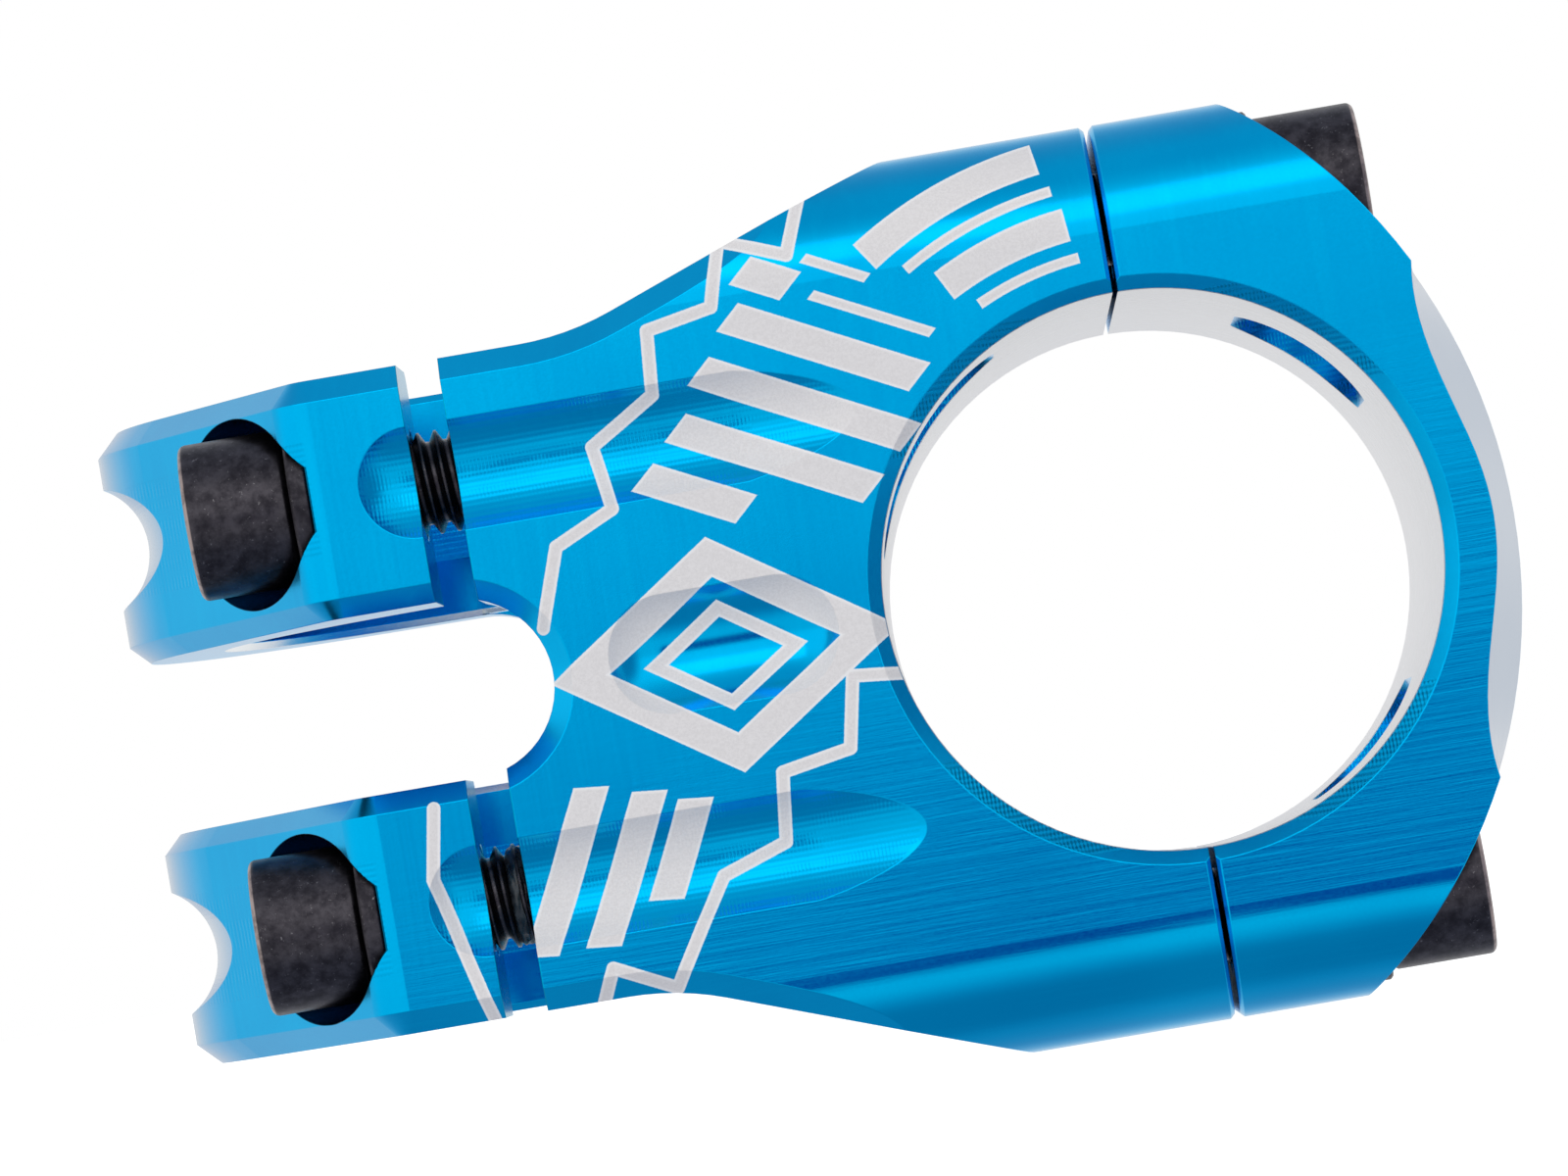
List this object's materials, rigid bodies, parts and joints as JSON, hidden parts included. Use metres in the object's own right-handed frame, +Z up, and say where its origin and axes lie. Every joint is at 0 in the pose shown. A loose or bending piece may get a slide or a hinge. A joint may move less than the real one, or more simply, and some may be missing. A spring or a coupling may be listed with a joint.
{
  "type": "handlebar stem",
  "caption": "Short machined handlebar stem with a round-backed pinch clamp for the steerer tube and a removable faceplate that clamps the handlebar.",
  "frame": {"origin": "on the steerer axis, at half the height of the steerer clamp", "axes": "+X forward to the handlebar, +Y to the rider's left along the handlebar, +Z up along the steerer"},
  "size_m": [0.0807, 0.049, 0.0516],
  "materials": {
    "anodised_alloy": "satin blue anodising, bare silver bar bore, etched white geometric pattern",
    "black_steel": "black oxide, dull",
    "black_washer": "black oxide, dull"
  },
  "bodies": {
    "stem": {"stem_body": "anodised_alloy"},
    "faceplate": {"faceplate": "anodised_alloy", "faceplate_washer_upper_right": "black_washer", "faceplate_washer_upper_left": "black_washer", "faceplate_washer_lower_right": "black_washer", "faceplate_washer_lower_left": "black_washer"},
    "faceplate_bolt_upper_right": {"faceplate_bolt_upper_right": "black_steel"},
    "faceplate_bolt_upper_left": {"faceplate_bolt_upper_left": "black_steel"},
    "faceplate_bolt_lower_right": {"faceplate_bolt_lower_right": "black_steel"},
    "faceplate_bolt_lower_left": {"faceplate_bolt_lower_left": "black_steel"},
    "steerer_washer_upper": {"steerer_washer_upper": "black_washer"},
    "steerer_bolt_upper": {"steerer_bolt_upper": "black_steel"},
    "steerer_washer_lower": {"steerer_washer_lower": "black_washer"},
    "steerer_bolt_lower": {"steerer_bolt_lower": "black_steel"}
  },
  "joints": [
    {"name": "faceplate_slide", "type": "slide", "parent": "stem", "child": "faceplate", "axis": [1, 0, 0], "range_m": [0, 0.01]},
    {"name": "faceplate_bolt_upper_right_turn", "type": "hinge", "parent": "faceplate", "child": "faceplate_bolt_upper_right", "pos_m": [0.0491, -0.0185, 0.0201], "axis": [1, 0, 0], "range_deg": [0, 3600]},
    {"name": "faceplate_bolt_upper_left_turn", "type": "hinge", "parent": "faceplate", "child": "faceplate_bolt_upper_left", "pos_m": [0.0491, 0.0185, 0.0201], "axis": [1, 0, 0], "range_deg": [0, 3600]},
    {"name": "faceplate_bolt_lower_right_turn", "type": "hinge", "parent": "faceplate", "child": "faceplate_bolt_lower_right", "pos_m": [0.0491, -0.0185, -0.0201], "axis": [1, 0, 0], "range_deg": [0, 3600]},
    {"name": "faceplate_bolt_lower_left_turn", "type": "hinge", "parent": "faceplate", "child": "faceplate_bolt_lower_left", "pos_m": [0.0491, 0.0185, -0.0201], "axis": [1, 0, 0], "range_deg": [0, 3600]},
    {"name": "steerer_bolt_upper_back_out", "type": "slide", "parent": "stem", "child": "steerer_washer_upper", "axis": [-1, 0, 0], "range_m": [0, 0.01]},
    {"name": "steerer_bolt_upper_turn", "type": "hinge", "parent": "steerer_washer_upper", "child": "steerer_bolt_upper", "pos_m": [-0.0081, -0.0192, 0.012], "axis": [-1, 0, 0], "range_deg": [0, 3600]},
    {"name": "steerer_bolt_lower_back_out", "type": "slide", "parent": "stem", "child": "steerer_washer_lower", "axis": [-1, 0, 0], "range_m": [0, 0.01]},
    {"name": "steerer_bolt_lower_turn", "type": "hinge", "parent": "steerer_washer_lower", "child": "steerer_bolt_lower", "pos_m": [-0.0081, -0.0192, -0.012], "axis": [-1, 0, 0], "range_deg": [0, 3600]}
  ],
  "couplings": [
    {"joint": "faceplate_bolt_upper_right_turn", "follows": "faceplate_slide", "rad_per_m": 6283.2},
    {"joint": "faceplate_bolt_upper_left_turn", "follows": "faceplate_slide", "rad_per_m": 6283.2},
    {"joint": "faceplate_bolt_lower_right_turn", "follows": "faceplate_slide", "rad_per_m": 6283.2},
    {"joint": "faceplate_bolt_lower_left_turn", "follows": "faceplate_slide", "rad_per_m": 6283.2},
    {"joint": "steerer_bolt_upper_turn", "follows": "steerer_bolt_upper_back_out", "rad_per_m": 6283.2},
    {"joint": "steerer_bolt_lower_turn", "follows": "steerer_bolt_lower_back_out", "rad_per_m": 6283.2}
  ]
}
